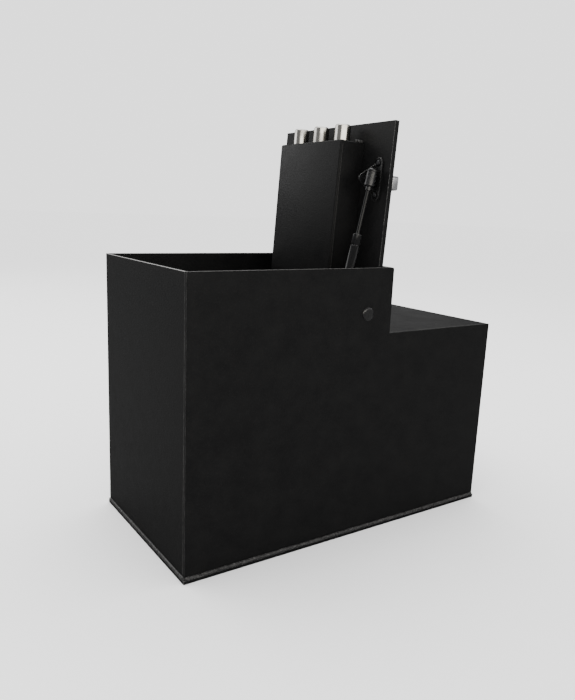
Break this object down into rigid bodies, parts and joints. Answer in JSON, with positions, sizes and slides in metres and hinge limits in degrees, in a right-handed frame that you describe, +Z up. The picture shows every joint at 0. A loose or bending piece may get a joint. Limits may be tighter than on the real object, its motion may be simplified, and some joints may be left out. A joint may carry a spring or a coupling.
{
  "type": "in-floor safe",
  "caption": "Welded steel in-floor safe: L-shaped body with a raised neck, and a recessed hinged boltwork door held open by a gas strut.",
  "frame": {"origin": "centre of the base plate's underside, on the floor", "axes": "+Z up, out of the floor; +X from the neck end towards the shoulder end; -Y is the side the hinge pin's weld and the gas strut are nearest to"},
  "size_m": [0.609, 0.3122, 0.6673],
  "materials": {
    "powder_coat": "satin black powder coat, fine orange peel",
    "weld_bead": "lumpy weld under thin black coat",
    "bright_steel": "turned bright steel bar",
    "zinc_steel": "zinc plated steel",
    "satin_chrome": "satin chrome",
    "cast_zinc": "die-cast zinc alloy",
    "brass": "machined brass",
    "black_enamel": "semi-gloss black enamel",
    "socket_plastic": "moulded black nylon"
  },
  "bodies": {
    "safe_body": {"base_plate": "powder_coat", "base_weld_bead": "weld_bead", "near_side_wall": "powder_coat", "far_side_wall": "powder_coat", "left_end_wall": "powder_coat", "right_end_wall": "powder_coat", "shoulder_plate": "powder_coat", "neck_wall": "powder_coat", "strike_bar": "powder_coat", "near_ledge": "powder_coat", "far_ledge": "powder_coat", "hinge_pin": "zinc_steel", "near_pin_weld": "weld_bead", "far_pin_weld": "weld_bead", "near_hinge_spacer": "zinc_steel", "far_hinge_spacer": "zinc_steel", "strut_wall_bracket": "powder_coat", "strut_lower_stud": "zinc_steel"},
    "door": {"door_plate": "powder_coat", "near_hinge_lug": "powder_coat", "far_hinge_lug": "powder_coat", "boltwork_cover": "powder_coat", "cover_weld_near": "weld_bead", "cover_weld_far": "weld_bead", "bolt_guide": "zinc_steel", "strut_door_bracket": "black_enamel", "bracket_screw_outer": "zinc_steel", "bracket_screw_inner": "zinc_steel", "lock_case": "cast_zinc", "lock_cover": "zinc_steel", "handle_escutcheon": "satin_chrome", "dial_ring": "satin_chrome"},
    "boltwork": {"locking_bolt_1": "bright_steel", "locking_bolt_2": "bright_steel", "locking_bolt_3": "bright_steel", "bolt_bar": "zinc_steel", "bolt_screw_1": "black_enamel", "bolt_screw_2": "black_enamel", "bolt_screw_3": "black_enamel", "drive_plate": "zinc_steel"},
    "handle": {"handle_lever": "satin_chrome", "handle_hub": "satin_chrome", "handle_spindle": "zinc_steel", "handle_cam": "zinc_steel", "crank_pin": "bright_steel"},
    "lock_bolt_body": {"lock_bolt": "brass"},
    "dial": {"dial_knob": "black_enamel", "dial_spindle": "zinc_steel", "drive_cam": "brass", "lock_wheel_1": "brass", "lock_wheel_2": "brass", "lock_wheel_3": "brass"},
    "strut_cylinder": {"strut_tube": "black_enamel", "strut_lower_socket": "socket_plastic"},
    "strut_piston_rod": {"strut_rod": "black_enamel", "strut_piston": "brass", "strut_upper_socket": "socket_plastic", "strut_upper_stud": "zinc_steel"}
  },
  "joints": [
    {"name": "door_hinge", "type": "hinge", "parent": "safe_body", "child": "door", "pos_m": [0.0095, 0, 0.373], "axis": [0, 1, 0], "range_deg": [-93.5, 0]},
    {"name": "strut_swing", "type": "hinge", "parent": "safe_body", "child": "strut_cylinder", "pos_m": [-0.0262, -0.125, 0.366], "axis": [0, 1, 0], "range_deg": [-100.6, 0]},
    {"name": "strut_stroke", "type": "slide", "parent": "strut_cylinder", "child": "strut_piston_rod", "axis": [0.22, 0, 0.9755], "range_m": [-0.0482, 0]},
    {"name": "handle_turn", "type": "hinge", "parent": "door", "child": "handle", "pos_m": [0.04809, -0.02325, 0.57803], "axis": [0.9981, 0, -0.061], "range_deg": [-60, 0]},
    {"name": "bolt_throw", "type": "slide", "parent": "door", "child": "boltwork", "axis": [0.061, 0, 0.9981], "range_m": [0, 0.01]},
    {"name": "lock_bolt_slide", "type": "slide", "parent": "door", "child": "lock_bolt_body", "axis": [0.061, 0, 0.9981], "range_m": [0, 0.01]},
    {"name": "dial_spin", "type": "hinge", "parent": "door", "child": "dial", "pos_m": [0.04357, 0.0055, 0.50416], "axis": [0.9981, 0, -0.061], "continuous": true}
  ],
  "couplings": [
    {"joint": "strut_swing", "follows": "door_hinge", "ratio": 1.0736},
    {"joint": "strut_stroke", "follows": "door_hinge", "m_per_rad": 0.029144},
    {"joint": "bolt_throw", "follows": "handle_turn", "m_per_rad": -0.009549},
    {"joint": "lock_bolt_slide", "follows": "handle_turn", "m_per_rad": -0.009549}
  ]
}
